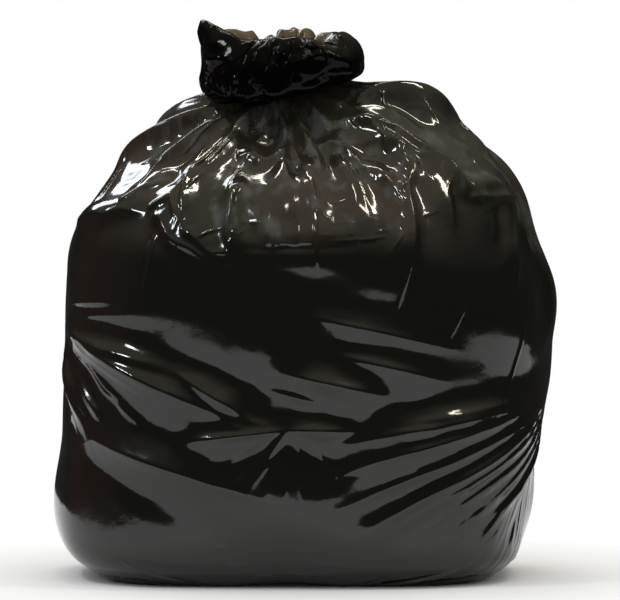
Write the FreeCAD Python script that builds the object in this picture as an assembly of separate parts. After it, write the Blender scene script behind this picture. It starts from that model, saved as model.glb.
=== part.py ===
"""Filled bin bag: a full black refuse sack, its neck gathered tight and its mouth puffed out in a ruff.

Millimetres, +Z up, the front facing -Y. The origin is on the floor, under the middle of the bag's box.
A bearing is an angle round the bag, in degrees: 0 is the front, 90 the right (+X), 180 the back.
The sack is one piece of film round contents that nothing shows, so it is one closed solid. Its skin is
a single closed sheet: sections stacked from the foot, over the shoulders, through the neck and into the
mouth, with pleats, creases and ruffles standing off it along its normals.
"""
import FreeCAD, Part
from itertools import accumulate
import math
import os

# Sections of the plain form, from the floor up and then into the mouth.
# climb: how much higher than the section before it, at the sides; lift: how much higher the right side
# is than the left; pitch: how much higher the back is than the front; drop: how much lower the front and
# back are than the sides; left, right, front, back: reach from the section's own centre; centre: that
# centre's place along X; square: 2 is an ellipse, more is boxier, less is more pointed.
SECTION_SIZES = ("climb", "lift", "pitch", "drop", "left", "right", "front", "back", "centre", "square")
SECTIONS = {
    "foot":     (0, 0, 0, 0, 200, 184, 146, 146, 0, 3.4),
    "heel":     (26, 0, 0, 0, 239, 223, 178, 176, 0, 3.2),
    "lower":    (64, 0, 0, 0, 253, 227, 190, 188, 0, 2.9),
    "waist":    (95, 0, 0, 0, 244, 245, 188, 188, 0, 2.7),
    "belly":    (100, 0, 0, 0, 243, 248, 188, 188, 0, 2.6),
    "chest":    (67, 0, 0, 2, 232, 232, 180, 180, 0, 2.4),
    "shoulder": (56, 0, 0, 12, 200, 207, 146, 148, 0, 2.2),
    "slope":    (44, 3, 3, 24, 159, 161, 102, 106, 0, 2.05),
    "crown":    (36, 5, 8, 24, 108, 124, 62, 66, -6, 1.9),
    "collar":   (12, 4, 9, 8, 48, 56, 34, 36, -15, 2.0),
    "throat":   (5, 2, 8, 2, 20, 20, 18, 18, -17, 2.0),
    "skirt":    (1, 8, 6, 8, 78, 72, 54, 50, -24, 2.3),
    "ruff":     (19, 6, 5, 6, 73, 83, 62, 58, -25, 2.6),
    "rim":      (26, 0, 6, 2, 70, 68, 48, 46, -27, 2.6),
    "lip":      (1, 0, 6, 0, 54, 50, 32, 30, -28, 2.2),
    "hollow":   (-13, 0, 0, 0, 18, 18, 12, 12, -24, 2.0),
}

# Sizes that are set one by one.
SINGLE_SIZES = {
    "pleat_count": 27,       # pleats gathered in at the neck
    "pleat_height": 5,       # their height where they are tallest, beside the neck
    "pleat_length": 115,     # how far they run down from the neck
    "pleat_unevenness": 0.9,  # how far they stray from even spacing, in pleats
    "fold_count": 13,        # broad folds that run on from the pleats over the shoulders
    "fold_height": 6,        # their height where they are tallest
    "fold_length": 250,      # how far they run down from the neck
    "ruffle_count": 5,       # broad ruffles round the mouth
    "ruffle_height": 7,      # their height at the rim
    "gather_height": 2.5,    # the height of the small gathers between the ruffles
    "rim_wave": 5,           # how far the rim rises and falls
    "peak_height": 12,       # the torn-up tip of film at the rim's left end
    "peak_width": 30,        # how far that tip reaches along the rim, to each side
    "slump_depth": 5,        # soft dents where the film hangs slack over the contents
    "slump_length": 180,     # from one dent up to the next but one
}

# Creases that the film's pull leaves on the body: from (bearing, height) to (bearing, height), with
# the width across and the height of the ridge. A negative height is a furrow.
CREASE_SIZES = ("from_bearing", "from_height", "to_bearing", "to_height", "width", "rise")
CREASES = {
    "fan_upper":     (66, 190, 6, 128, 15, 10),
    "fan_second":    (72, 184, 2, 88, 15, 11),
    "fan_third":     (76, 178, 16, 62, 14, 11),
    "fan_fourth":    (78, 174, 28, 60, 13, 10),
    "fan_fifth":     (80, 168, 38, 54, 12, 9),
    "fan_sixth":     (82, 160, 48, 44, 12, 8),
    "left_tuck":     (-76, 256, -34, 214, 14, 9),
    "left_fold":     (-70, 250, -16, 156, 18, 12),
    "left_sliver":   (-78, 238, -58, 160, 12, 9),
    "middle_fold":   (-36, 214, -12, 158, 14, 10),
    "star_left":     (-6, 158, -36, 144, 13, 9),
    "star_right":    (-6, 158, 16, 156, 13, 8),
    "low_band":      (-56, 146, -20, 98, 18, 9),
    "long_upper":    (4, 268, 44, 234, 16, 7),
    "long_middle":   (10, 232, 42, 202, 16, 8),
    "long_lower":    (-4, 212, 26, 188, 17, 9),
    "apron_edge":    (-18, 336, 20, 340, 18, 6),
    "right_drape":   (84, 366, 80, 226, 17, 10),
    "side_drape":    (102, 352, 98, 236, 16, 9),
    "left_drape":    (-96, 330, -100, 196, 17, 9),
    "back_fan_one":  (118, 192, 172, 112, 16, 11),
    "back_fan_two":  (112, 182, 160, 76, 15, 11),
    "back_fan_three": (108, 172, 146, 58, 14, 10),
    "back_apron":    (150, 338, 204, 326, 20, 7),
    "back_tuck":     (250, 244, 206, 184, 16, 11),
    "back_fold":     (242, 228, 198, 140, 16, 10),
    "back_band":     (234, 132, 190, 96, 18, 9),
}

# Folds of the loose film over the shoulders, each a line with one bend in it. An end or a bend lies at a
# bearing and at a run, its distance below the neck along the skin. Width and rise are as for creases.
FOLD_SIZES = ("from_bearing", "from_run", "bend_bearing", "bend_run", "to_bearing", "to_run",
              "width", "rise")
FOLDS = {
    "upper_ridge":    (30, 62, 50, 108, 56, 160, 15, 12),
    "upper_ridge_end": (56, 160, 55, 188, 55, 216, 15, 13),
    "star_arm":       (55, 216, 62, 228, 74, 244, 15, 11),
    "star_drop":      (60, 222, 60, 242, 58, 268, 13, 8),
    "lower_ridge":    (24, 84, 42, 114, 55, 162, 14, 10),
    "right_pouch":    (30, 144, 33, 168, 40, 178, 14, 10),
    "right_pouch_side": (40, 178, 43, 164, 47, 148, 13, 8),
    "falling_fold":   (37, 178, 34, 214, 30, 262, 14, 11),
    "second_fall":    (54, 168, 50, 196, 46, 238, 13, 7),
    "ear_crest":      (70, 56, 82, 108, 87, 160, 25, 10),
    "ear_furrow":     (60, 56, 69, 104, 70, 154, 19, -8),
    "ear_end":        (87, 156, 83, 178, 80, 206, 17, 9),
    "outer_drape":    (90, 186, 88, 226, 85, 292, 17, 9),
    "inner_drape":    (72, 246, 64, 280, 60, 318, 15, 11),
    "leaf_left":      (-7, 48, -4, 106, 6, 142, 12, 9),
    "leaf_right":     (3, 60, 9, 104, 7, 142, 12, 8),
    "hook":           (8, 88, 22, 94, 27, 128, 13, 9),
    "veil_left":      (-28, 152, -24, 192, -20, 236, 14, 10),
    "veil_slant":     (-27, 152, -18, 188, -8, 232, 13, 8),
    "veil_middle":    (-10, 102, -6, 150, -2, 204, 14, 9),
    "veil_second":    (-3, 126, 1, 160, 5, 198, 13, 7),
    "veil_right":     (19, 110, 20, 150, 18, 196, 14, 10),
    "bowl_rim":       (-37, 96, -20, 116, -10, 88, 14, 11),
    "bowl_hollow":    (-34, 78, -24, 84, -14, 78, 19, -8),
    "neck_furrow":    (-12, 24, -28, 48, -46, 80, 17, -10),
    "left_crest":     (-82, 174, -74, 122, -63, 54, 15, 12),
    "left_furrow":    (-70, 168, -66, 116, -60, 62, 14, -7),
    "left_ridge":     (-60, 162, -58, 116, -59, 44, 15, 12),
    "left_glint":     (-60, 204, -57, 180, -52, 158, 13, 9),
    "left_brow":      (-78, 244, -64, 224, -51, 200, 19, 10),
    "left_pouch":     (-51, 196, -46, 184, -38, 204, 14, 10),
    "left_pouch_side": (-38, 204, -41, 178, -46, 146, 14, 10),
    "crescent":       (-48, 204, -40, 224, -29, 234, 14, 10),
    "left_flap":      (-88, 124, -82, 84, -74, 44, 19, 8),
    "flap_furrow":    (-78, 128, -74, 86, -68, 48, 14, -7),
    "back_ridge":     (150, 52, 144, 118, 136, 196, 16, 12),
    "back_middle":    (172, 70, 178, 136, 174, 224, 15, 11),
    "back_left":      (196, 48, 206, 112, 216, 184, 16, 12),
    "back_left_end":  (216, 184, 212, 216, 214, 262, 14, 9),
    "back_outer":     (236, 78, 238, 140, 230, 208, 16, 11),
    "back_pouch":     (112, 128, 124, 168, 140, 198, 16, 11),
    "back_furrow":    (160, 44, 162, 84, 158, 128, 17, -8),
    "back_brow":      (250, 236, 236, 214, 222, 222, 18, 10),
    "back_bowl":      (180, 150, 192, 172, 204, 152, 15, 10),
    "back_drape":     (110, 214, 116, 262, 112, 318, 17, 9),
}

PEAK_BEARING = -78
SIDE_BEARING = 90
PLEATS_AT_NECK = 0.3  # the pleats' share of their full height at the neck itself
PLEAT_GROWTH = 45     # the run from the neck on which the pleats reach their full height
FOLD_GROWTH = 55      # the same for the folds
FOOT_FADE = 1.2       # creases start on this many sections above the foot
CREASE_FADE = 3.2     # and fade out on this many above the chest
RIM_FADE = 1.9        # the rim's rise and fall reaches this many sections to each side
POLES_AROUND = 180
POLE_SPACING = 10
LEAST_POLES_PER_SECTION = 4
DEGREE = 3
FIX_TOLERANCE = 0.01


def fill_sheet(sheet):
    """One row for each driving size: its name, and its value as plain text under the same alias."""
    rows = [(f"{s}_{n}", v) for s, vs in SECTIONS.items() for n, v in zip(SECTION_SIZES, vs)]
    rows += list(SINGLE_SIZES.items())
    rows += [(f"{c}_{n}", v) for c, vs in CREASES.items() for n, v in zip(CREASE_SIZES, vs)]
    rows += [(f"{f}_{n}", v) for f, vs in FOLDS.items() for n, v in zip(FOLD_SIZES, vs)]
    for row, (alias, value) in enumerate(rows, 1):
        sheet.set(f"A{row}", alias)
        sheet.set(f"B{row}", str(value))
        sheet.setAlias(f"B{row}", alias)


def through(values, place):
    """A smooth curve through evenly spaced values (Catmull-Rom), read at place."""
    last = len(values) - 1
    start = min(int(place), last - 1)
    share = place - start
    before, here, after, beyond = (values[max(0, min(last, start + k))] for k in (-1, 0, 1, 2))
    bend = 2 * before - 5 * here + 4 * after - beyond
    twist = 3 * here - before - 3 * after + beyond
    return here + 0.5 * share * (after - before + share * (bend + share * twist))


def bump(distance, reach):
    """1 at no distance, falling smoothly to 0 at reach."""
    share = min(1.0, abs(distance) / reach)
    return (1 - share * share) ** 2


def rise_to(value, full):
    """0 at nothing, rising smoothly to 1 at full and past it."""
    share = min(1.0, max(0.0, value / full))
    return share * share * (3 - 2 * share)


def beside_line(bearing, run, arc, ends):
    """How far a point lies from a bent line, with arc the length of a degree, and its share along it."""
    best, best_share = math.inf, 0.0
    for half in (0, 1):
        start_turn, start_run, end_turn, end_run = ends[2 * half:2 * half + 4]
        across, down = turn_between(bearing, start_turn) * arc, run - start_run
        sideways, onward = turn_between(end_turn, start_turn) * arc, end_run - start_run
        share = (across * sideways + down * onward) / (sideways ** 2 + onward ** 2)
        share = min(1.0, max(0.0, share))
        aside = math.hypot(across - share * sideways, down - share * onward)
        if aside < best:
            best, best_share = aside, (half + share) / 2
    return best, best_share


def turn_between(first, second):
    """The signed angle from the second bearing to the first, in degrees, from -180 to 180."""
    return (first - second + 180) % 360 - 180


class Bag:
    """The bag's skin, worked out from the sizes in the sheet."""

    def __init__(self, sheet):
        self.sheet = sheet
        self.names = list(SECTIONS)
        self.columns = {n: [sheet.get(f"{s}_{n}") for s in self.names] for n in SECTION_SIZES}
        self.columns["height"] = list(accumulate(self.columns["climb"]))
        self.creases = [[sheet.get(f"{c}_{n}") for n in CREASE_SIZES] for c in CREASES]
        self.folds = [[sheet.get(f"{f}_{n}") for n in FOLD_SIZES] for f in FOLDS]

    def size(self, name):
        return self.sheet.get(name)

    def plain_point(self, place, bearing):
        """A point of the form without pleats, at a place along the sections."""
        at = {n: through(column, place) for n, column in self.columns.items()}
        across, along = math.sin(math.radians(bearing)), -math.cos(math.radians(bearing))
        half_x = at["right"] if across > 0 else at["left"]
        half_y = at["back"] if along > 0 else at["front"]
        power = at["square"]
        reach = (abs(across / half_x) ** power + abs(along / half_y) ** power) ** (-1 / power)
        height = at["height"] + at["lift"] * across + at["pitch"] * along - at["drop"] * along ** 2
        return FreeCAD.Vector(at["centre"] + reach * across, reach * along, height)

    def pleat(self, count, bearing, shift=0.0):
        """Sharp ridges with broad valleys between, unevenly spaced: from -1 to 1."""
        turn = math.radians(bearing)
        stray = 0.5 * math.sin(3 * turn + 0.7) + 0.3 * math.sin(5 * turn + 2.3)
        stray += 0.2 * math.sin(8 * turn)
        ridge = count * turn / 2 + math.pi * (shift + self.size("pleat_unevenness") * stray)
        return 1 - 2 * abs(math.sin(ridge)) ** 0.8

    def pleats(self, run, bearing):
        """Pleats that run down from the neck and die out, each at its own length, and broader folds."""
        turn = math.radians(bearing)
        pleat_stray = 0.25 * math.sin(4 * turn + 1.1) + 0.15 * math.sin(9 * turn)
        fold_stray = 0.15 * math.sin(3 * turn + 0.4) + 0.15 * math.sin(7 * turn + 2)
        pleat_start = PLEATS_AT_NECK + (1 - PLEATS_AT_NECK) * rise_to(run, PLEAT_GROWTH)
        pleat_share = pleat_start * bump(run, self.size("pleat_length") * (1 + pleat_stray))
        fold_share = rise_to(run, FOLD_GROWTH) * bump(run, self.size("fold_length") * (1 + fold_stray))
        pleat = self.pleat(round(self.size("pleat_count")), bearing)
        fold = self.pleat(round(self.size("fold_count")), bearing, 0.3)
        pleats = self.size("pleat_height") * pleat_share * pleat
        return pleats + self.size("fold_height") * fold_share * fold

    def ruffles(self, place, bearing):
        """Full ruffles of the open mouth, sharp furrows between, from nothing at the neck to the rim."""
        throat, rim = self.names.index("throat"), self.names.index("rim")
        hollow = self.names.index("hollow")
        if place < throat:
            return 0.0
        grow = min((place - throat) / (rim - throat), (hollow - place) / (hollow - rim))
        turn = math.radians(bearing)
        count = round(self.size("ruffle_count"))
        swell = 0.7 + 0.3 * math.sin(2 * turn + 0.9 * place)
        ruffle = -swell * self.pleat(count, bearing, 0.3 * place)
        gather = math.sin(1.7 * place + 3 * turn) * self.pleat(3 * count + 1, bearing, 0.15 * place)
        gather += 0.5 * (1 - grow) * self.pleat(round(self.size("pleat_count")), bearing)
        gathers = self.size("gather_height") * gather * min(1.0, 2 * grow)
        return grow * self.size("ruffle_height") * ruffle + gathers

    def rim_lift(self, place, bearing):
        """How far the rim rises and falls, with the tip that sticks up at its left end."""
        rim = self.names.index("rim")
        near = bump(place - rim, RIM_FADE)
        turn = math.radians(bearing)
        wave = 0.55 * math.sin(2 * turn + 2.6) + 0.45 * math.sin(5 * turn + 0.6)
        arc = math.radians(1) * self.size("rim_left")
        peak = bump(turn_between(bearing, PEAK_BEARING) * arc, self.size("peak_width"))
        return near * (self.size("rim_wave") * wave + self.size("peak_height") * peak)

    def creases_at(self, point, bearing):
        """The tallest ridge and the deepest furrow at a point, measured on the skin laid flat."""
        ridge, furrow = 0.0, 0.0
        arc = math.radians(1) * (self.size("belly_left") + self.size("belly_front")) / 2
        for start_turn, start_height, end_turn, end_height, width, rise in self.creases:
            across = turn_between(bearing, start_turn) * arc
            up = point.z - start_height
            run = turn_between(end_turn, start_turn) * arc
            climb = end_height - start_height
            length = math.hypot(run, climb)
            along = (across * run + up * climb) / length
            aside = abs(across * climb - up * run) / length
            if -0.26 * length < along < 1.1 * length and aside < 3 * width:
                spread = width * (0.6 + 0.6 * max(0.0, along) / length)
                section = math.exp(-abs(aside / spread) ** 1.4) - 0.35 * bump(aside - 2 * spread, spread)
                stand = rise * section * bump(along - 0.42 * length, 0.68 * length)
                ridge, furrow = max(ridge, stand), min(furrow, stand)
        return ridge + furrow

    def folds_at(self, run, bearing, reach):
        """The tallest ridge and deepest furrow of the shoulders' folds, on the skin laid flat there."""
        ridge, furrow = 0.0, 0.0
        arc = math.radians(1) * reach
        for *ends, width, rise in self.folds:
            aside, along = beside_line(bearing, run, arc, ends)
            if aside < 2 * width:
                swell = 1 - 0.7 * (2 * along - 1) ** 4
                stand = rise * swell * math.exp(-(2 * aside / width) ** 1.4)
                ridge, furrow = max(ridge, stand), min(furrow, stand)
        return (ridge + furrow) * rise_to(run, FOLD_GROWTH)

    def slump(self, point, bearing):
        """Soft dents between the lumps of the contents."""
        turn = math.radians(bearing)
        up = 2 * math.pi * point.z / self.size("slump_length")
        dent = math.sin(3 * turn + 0.7 * up) * math.sin(0.5 * up + 1.3 * math.sin(2 * turn))
        return self.size("slump_depth") * dent

    def body_share(self, place):
        """1 over the body's side, falling to 0 at the foot and towards the neck."""
        above_chest = max(0.0, place - self.names.index("chest"))
        return rise_to(place, FOOT_FADE) * bump(above_chest, CREASE_FADE)

    def places(self):
        """Where the rows of poles lie: each section's stretch is shared out evenly."""
        marks = [0.0]
        for place in range(len(self.names) - 1):
            lower, upper = (self.plain_point(place + k, SIDE_BEARING) for k in (0, 1))
            stretch = (upper - lower).Length
            count = max(LEAST_POLES_PER_SECTION, round(stretch / POLE_SPACING))
            marks += [place + (k + 1) / count for k in range(count)]
        return marks

    def runs(self, places, plain):
        """Each plain point's distance below the neck along the skin; past the neck it is nothing."""
        throat = self.names.index("throat")
        runs = [[0.0] * POLES_AROUND for _ in places]
        for row in range(len(places) - 2, -1, -1):
            if places[row] < throat:
                pairs = zip(runs[row + 1], plain[row], plain[row + 1])
                runs[row] = [further + (lower - upper).Length for further, lower, upper in pairs]
        return runs

    def poles(self):
        """The skin's net of poles: one closed row round the bag for each place along the sections."""
        places = self.places()
        last = len(places) - 1
        bearings = [360 * k / POLES_AROUND for k in range(POLES_AROUND)]
        plain = [[self.plain_point(p, b) for b in bearings] for p in places]
        runs = self.runs(places, plain)
        net = []
        for row, place in enumerate(places):
            below, above = plain[max(0, row - 1)], plain[min(last, row + 1)]
            share = self.body_share(place)
            line = []
            for column, bearing in enumerate(bearings):
                here, run = plain[row][column], runs[row][column]
                sideways = plain[row][(column + 1) % POLES_AROUND] - plain[row][column - 1]
                normal = sideways.cross(above[column] - below[column])
                normal.normalize()
                stand = self.pleats(run, bearing) + self.ruffles(place, bearing)
                stand += share * (self.creases_at(here, bearing) + self.slump(here, bearing))
                stand += self.folds_at(run, bearing, math.hypot(here.x, here.y))
                moved = here + normal * stand if 0 < row < last else FreeCAD.Vector(here)
                moved.z += self.rim_lift(place, bearing) if row < last else 0.0
                line.append(moved)
            net.append(line)
        return net

    def solid(self):
        """The closed skin, its flat foot and the end of the mouth's hollow, as one solid."""
        net = self.poles()
        along = list(zip(*net))
        around_knots = list(range(POLES_AROUND + 1))
        spans = len(net) - DEGREE
        section_marks = [DEGREE + 1] + [1] * (spans - 1) + [DEGREE + 1]
        skin = Part.BSplineSurface()
        skin.buildFromPolesMultsKnots(
            along, [1] * (POLES_AROUND + 1), section_marks,
            around_knots, list(range(spans + 1)), True, False, DEGREE, DEGREE)
        side = skin.toShape()
        rings = [e for e in side.Edges if e.isClosed() and self.is_level(e)]
        ends = [Part.Face(Part.Wire([ring])) for ring in rings]
        solid = Part.Solid(Part.Shell([side] + ends))
        solid.fix(FIX_TOLERANCE, FIX_TOLERANCE, FIX_TOLERANCE)
        return solid

    @staticmethod
    def is_level(edge):
        return edge.BoundBox.ZLength < 1e-3


def middle_of_box(shape):
    """Where the shape's box has its middle, on the floor."""
    box = shape.optimalBoundingBox(False, False)
    return FreeCAD.Vector(box.Center.x, box.Center.y, box.ZMin)


def check(doc, parts):
    """Stops the script if a feature failed or a part isn't a sound solid."""
    failed = [o.Name for o in doc.Objects if {"Invalid", "Error"} & set(o.State)]
    if failed:
        raise RuntimeError(f"features failed: {failed}")
    for part in parts:
        shape = part.Shape
        if shape.isNull() or not shape.isValid() or shape.Volume <= 0 or len(shape.Solids) != 1:
            raise RuntimeError(f"{part.Label} isn't one sound solid")


def main():
    doc = FreeCAD.newDocument("FilledBinBag")
    sheet = doc.addObject("Spreadsheet::Sheet", "Sizes")
    fill_sheet(sheet)
    doc.recompute()

    bag = doc.addObject("Part::Feature", "filled_bag")
    bag.Label = "filled_bag"
    bag.Shape = Bag(sheet).solid()
    bag.Placement = FreeCAD.Placement(-middle_of_box(bag.Shape), FreeCAD.Rotation())
    doc.recompute()

    parts = [bag]
    check(doc, parts)
    os.makedirs("parts", exist_ok=True)
    for part in parts:
        part.Shape.exportStep(f"parts/{part.Label}.step")
        box = part.Shape.optimalBoundingBox(False, False)
        ends = (box.XMin, box.XMax, box.YMin, box.YMax, box.ZMin, box.ZMax)
        print(part.Label, "volume, litres:", round(part.Shape.Volume / 1e6, 2),
              "box, mm:", [round(end, 1) for end in ends])


main()
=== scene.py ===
"""Looks of the filled bin bag: its film, laid over the contents and settled, on a pale floor.

Metres, +Z up, the front facing -Y. A bearing is an angle round the bag: 0 is the front, 90 the right (+X).
The film is a grid of points in rings round the bag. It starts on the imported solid's skin, is given some
spare length over the shoulders, where the film is gathered, and settles on the contents by position-based
dynamics: each pair of neighbours is held at its own length, and no point may sink into the contents.
"""
import math

import bpy
import numpy as np
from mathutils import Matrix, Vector, noise
from mathutils.bvhtree import BVHTree


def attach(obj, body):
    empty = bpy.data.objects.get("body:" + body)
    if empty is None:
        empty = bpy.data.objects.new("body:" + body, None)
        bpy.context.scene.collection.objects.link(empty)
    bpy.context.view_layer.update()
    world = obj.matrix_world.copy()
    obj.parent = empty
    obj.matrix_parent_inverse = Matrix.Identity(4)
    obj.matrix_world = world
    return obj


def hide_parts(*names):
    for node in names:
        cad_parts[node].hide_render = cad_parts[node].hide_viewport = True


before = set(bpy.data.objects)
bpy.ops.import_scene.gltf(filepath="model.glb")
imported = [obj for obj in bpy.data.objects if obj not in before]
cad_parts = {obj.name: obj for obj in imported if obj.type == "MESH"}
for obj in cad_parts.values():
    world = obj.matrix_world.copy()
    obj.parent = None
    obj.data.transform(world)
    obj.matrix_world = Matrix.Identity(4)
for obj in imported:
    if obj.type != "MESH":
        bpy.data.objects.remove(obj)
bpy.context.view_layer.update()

MM = 0.001

# The grid: points in a ring, rings of the body and of the ruff, how many pieces the body is cut into, and
# the steps between the points that each level of the simulation uses.
AROUND = 800
BODY_ROWS = 337
BODY_BANDS = 3
RUFF_ROWS = 113
LEVELS = (4, 2, 1)

# The points that rays are cast from, what tells the body, the neck and the ruff apart, and how far above the
# floor the film stays.
HEART = np.array((-17 * MM, 0.0, 250 * MM))
RUFF_HEART = np.array((-22 * MM, 0.0, 522 * MM))
NECK_RADIUS = 22.5 * MM
NECK_LOWEST = 400 * MM
RUFF_REACH = 125 * MM
FLOOR_GAP = 0.6 * MM

# A degree round the body, as a length on its skin laid flat.
BODY_ARC = math.radians(1) * 215 * MM

# Between these heights the film goes over from lying on the contents to hanging loose.
LOOSE_FROM, LOOSE_TO = 300 * MM, 400 * MM

# The body's film: its length round the bag as a share of the skin's, how much shorter than the skin it is
# upwards, its spare length over the shoulders, and the heights of the waves that it starts with and of its
# streaks. Then its fine facets, in millimetres, with what loose film has on top, the steps on each level, and
# its grip on the contents.
BODY_AROUND = 0.993
BODY_UPWARD_CUT = 0.010
BODY_SPARE = 0.026
BODY_WAVES = 0.8 * MM
STREAK_HEIGHT = 1.3 * MM
BODY_FACETS, LOOSE_FACETS = 0.04, 0.12
BODY_STEPS = (60, 40, 24)
BODY_GRIP = 0.7

# In millimetres, how far the contents lie inside the skin, how much further where the film is loose, and how
# far their lumps stand out and dip. Then what draws the film inwards and down, with what loose film has on
# top of it, as accelerations.
INSET, LOOSE_INSET, LUMP_HEIGHT = 0.8, 1.4, 1.6
INWARD, LOOSE_OUTWARD = 0.3, 0.15
WEIGHT, LOOSE_WEIGHT = 0.02, 0.06

# The ruff's film: its spare length round the mouth and over the rim, the waves that it starts with, how far
# its underside bellies out, how far it may stray from its plain form, its fine facets, its steps, and what
# pushes it out and draws it down, as accelerations.
RUFF_SPARE = 0.04
RUFF_SPARE_OVER = 0.02
RUFF_WAVES = 2 * MM
RUFF_SAG = 5 * MM
RUFF_LEEWAY = 4 * MM
RUFF_FACETS = 0.3 * MM
RUFF_STEPS = (40, 30, 14)
RUFF_OUTWARD = 0.1
RUFF_WEIGHT = 0.1

# The ruff's rim is lifted this far, in millimetres, to make up for its smoothing. The tip of film at its
# left end: its bearing, its half width in degrees, and how far it stands up and leans out, in millimetres.
RIM_RISE = 2
TIP_BEARING = -82
TIP_WIDTH = 11
TIP_RISE = 6
TIP_LEAN = 9

# Creases that the pull of the film leaves on the body, from (bearing, height) to (bearing, height), with
# the half width at the middle and the height of the crest, or less than 0 for a furrow. Degrees and
# millimetres.
CREASES = {
    "fan_1": (64, 186, 24, 160, 4, 3),
    "fan_2": (67, 182, 4, 140, 4, 4),
    "fan_3": (70, 180, -2, 104, 5, 5),
    "fan_4": (73, 178, 6, 74, 5, 6),
    "fan_5": (75, 176, 17, 58, 5, 6),
    "fan_6": (77, 173, 25, 60, 4, 5),
    "fan_7": (79, 170, 33, 56, 4, 5),
    "fan_8": (81, 166, 41, 52, 4, 5),
    "fan_9": (83, 160, 49, 46, 4, 5),
    "fan_10": (85, 154, 57, 42, 4, 4),
    "left_tuck": (-74, 256, -34, 214, 5, 5),
    "left_fold": (-68, 252, -16, 156, 6, 6),
    "left_sliver": (-74, 238, -60, 150, 5, 5),
    "left_edge": (-76, 246, -66, 170, 4, 3),
    "middle_fold": (-36, 214, -12, 158, 5, 5),
    "star_left": (-6, 158, -36, 146, 4, 5),
    "star_right": (-6, 158, 16, 158, 4, 4),
    "star_foot": (-6, 158, -14, 118, 4, 4),
    "low_band": (-56, 146, -20, 96, 7, 5),
    "low_line": (-50, 132, -8, 84, 5, 3),
    "long_upper": (4, 268, 44, 236, 5, 4),
    "long_middle": (10, 232, 42, 204, 5, 4),
    "long_lower": (-4, 212, 26, 190, 6, 5),
    "long_last": (-10, 196, 12, 176, 4, 4),
    "right_drape": (80, 366, 76, 226, 5, 3),
    "leaf_upper": (-76, 280, -52, 284, 4, 3),
    "leaf_lower": (-74, 268, -48, 270, 4, 3),
    "left_white": (-67, 222, -54, 158, 3, 6),
    "left_glare": (-60, 220, -48, 176, 3, 5),
    "left_spur": (-52, 186, -44, 160, 3, 4),
    "apron_edge": (-18, 337, 20, 341, 12, -6),
}

# Broad swellings where the contents press the film outwards, in the same way.
SWELLS = {
    "right_foot": (86, 112, 86, 30, 45, 9),
    "left_foot": (-84, 132, -84, 14, 45, 4.5),
    "right_waist": (86, 240, 86, 160, 40, 5),
    "left_waist": (-86, 292, -86, 214, 40, 4),
}

# Folds of the loose film over the shoulders: lines with one bend, each point at a bearing and a run, its
# distance below the neck along the skin, then the half width and the height of the crest.
FOLDS = {
    "upper_ridge": (30, 62, 50, 108, 56, 160, 5.1, 6),
    "upper_ridge_end": (56, 160, 55, 188, 55, 216, 5.1, 7),
    "star_arm": (55, 216, 62, 228, 74, 244, 5.1, 6),
    "star_drop": (60, 222, 60, 242, 58, 268, 5.1, 4),
    "lower_ridge": (24, 84, 42, 114, 55, 162, 5.1, 5),
    "right_pouch": (30, 144, 33, 168, 40, 178, 5.1, 5),
    "right_pouch_side": (40, 178, 43, 164, 47, 148, 5.1, 4),
    "falling_fold": (37, 178, 34, 214, 30, 262, 5.1, 6),
    "second_fall": (54, 168, 50, 196, 46, 238, 5.1, 3),
    "ear_crest": (72, 56, 84, 108, 88, 160, 15.3, 9),
    "ear_seam": (66, 70, 76, 112, 80, 158, 5.1, 4),
    "ear_end": (87, 156, 83, 178, 80, 206, 6.8, 4),
    "outer_drape": (86, 192, 84, 226, 82, 292, 5.1, 4),
    "middle_drape": (78, 226, 74, 268, 72, 330, 5.1, 4),
    "inner_drape": (72, 246, 64, 280, 60, 318, 5.1, 6),
    "leaf_left": (-7, 48, -4, 106, 6, 142, 4.25, 5),
    "leaf_right": (3, 60, 9, 104, 7, 142, 4.25, 4),
    "hook": (8, 88, 22, 94, 27, 128, 4.25, 5),
    "veil_left": (-28, 152, -24, 192, -20, 236, 5.1, 5),
    "veil_slant": (-27, 152, -18, 188, -8, 232, 4.25, 4),
    "veil_middle": (-10, 102, -6, 150, -2, 204, 5.1, 4),
    "veil_second": (-3, 126, 1, 160, 5, 198, 4.25, 3),
    "veil_third": (12, 132, 14, 166, 16, 214, 4.25, 3),
    "veil_right": (19, 110, 20, 150, 18, 196, 5.1, 5),
    "bowl_rim": (-37, 96, -20, 116, -10, 88, 4.25, 6),
    "left_crest": (-82, 174, -74, 122, -63, 54, 5.1, 6),
    "left_ridge": (-60, 162, -58, 116, -59, 44, 5.1, 6),
    "left_second": (-48, 150, -52, 104, -56, 60, 5.1, 3),
    "left_glint": (-60, 204, -57, 180, -52, 158, 4.25, 5),
    "left_brow": (-78, 244, -64, 224, -51, 200, 6.8, 5),
    "left_pouch": (-51, 196, -46, 184, -38, 204, 4.25, 6),
    "left_pouch_side": (-38, 204, -41, 178, -46, 146, 4.25, 5),
    "crescent": (-48, 204, -40, 224, -29, 234, 5.1, 5),
    "left_flap": (-88, 124, -82, 84, -74, 44, 6.8, 4),
    "left_apron": (-38, 206, -28, 230, -10, 236, 5.1, 3),
    "back_ridge": (150, 52, 144, 118, 136, 196, 5.1, 6),
    "back_middle": (172, 70, 178, 136, 174, 224, 5.1, 5),
    "back_left": (196, 48, 206, 112, 216, 184, 5.1, 6),
    "back_left_end": (216, 184, 212, 216, 214, 262, 5.1, 4),
    "back_outer": (236, 78, 238, 140, 230, 208, 5.1, 5),
    "back_pouch": (112, 128, 124, 168, 140, 198, 5.1, 5),
    "back_brow": (250, 236, 236, 214, 222, 222, 6.8, 5),
    "back_bowl": (180, 150, 192, 172, 204, 152, 5.1, 5),
    "back_drape": (110, 214, 116, 262, 112, 318, 5.1, 4),
}

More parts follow.
